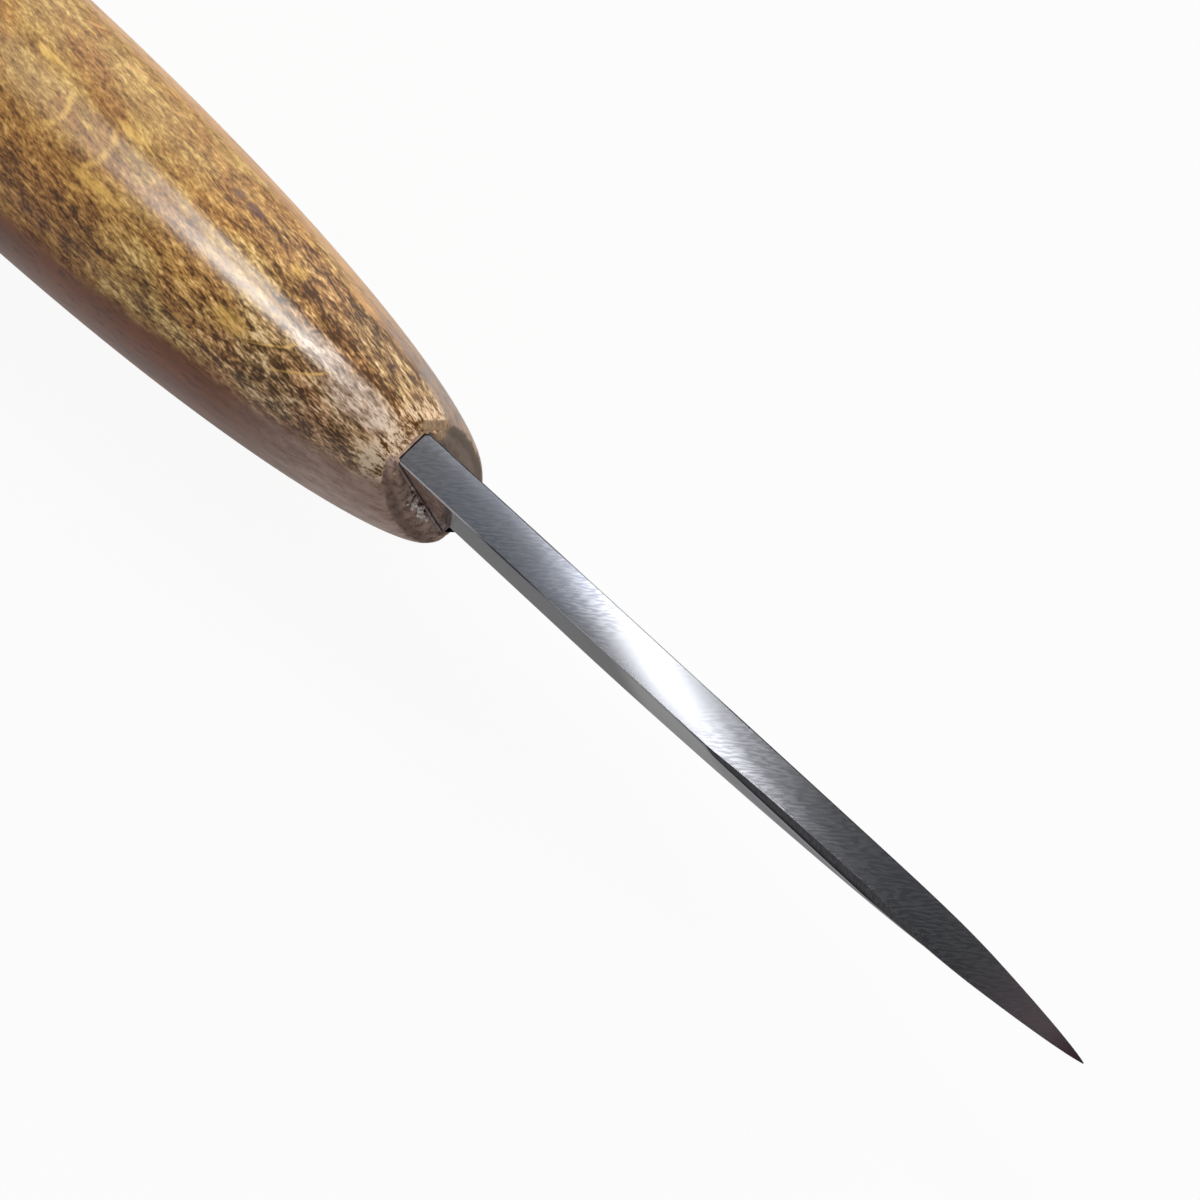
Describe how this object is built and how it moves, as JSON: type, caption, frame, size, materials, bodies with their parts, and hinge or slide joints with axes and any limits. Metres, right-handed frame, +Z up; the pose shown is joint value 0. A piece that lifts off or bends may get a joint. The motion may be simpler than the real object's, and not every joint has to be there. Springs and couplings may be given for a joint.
{
  "type": "sloyd knife",
  "caption": "Sloyd carving knife: straight-backed ground steel blade on a hidden stick tang, glued into a barrel-shaped stained beech handle.",
  "frame": {"origin": "on the spine's centre line, where the blade leaves the handle's end face", "axes": "+X along the spine to the tip, +Z up out of the spine, blade plane at Y = 0"},
  "size_m": [0.1929, 0.0232, 0.0316],
  "materials": {
    "steel": "ground bright",
    "beech": "stained and waxed",
    "resin": "cured"
  },
  "bodies": {
    "root": {"blade": "steel", "handle": "beech", "tang_adhesive": "resin"}
  },
  "joints": []
}
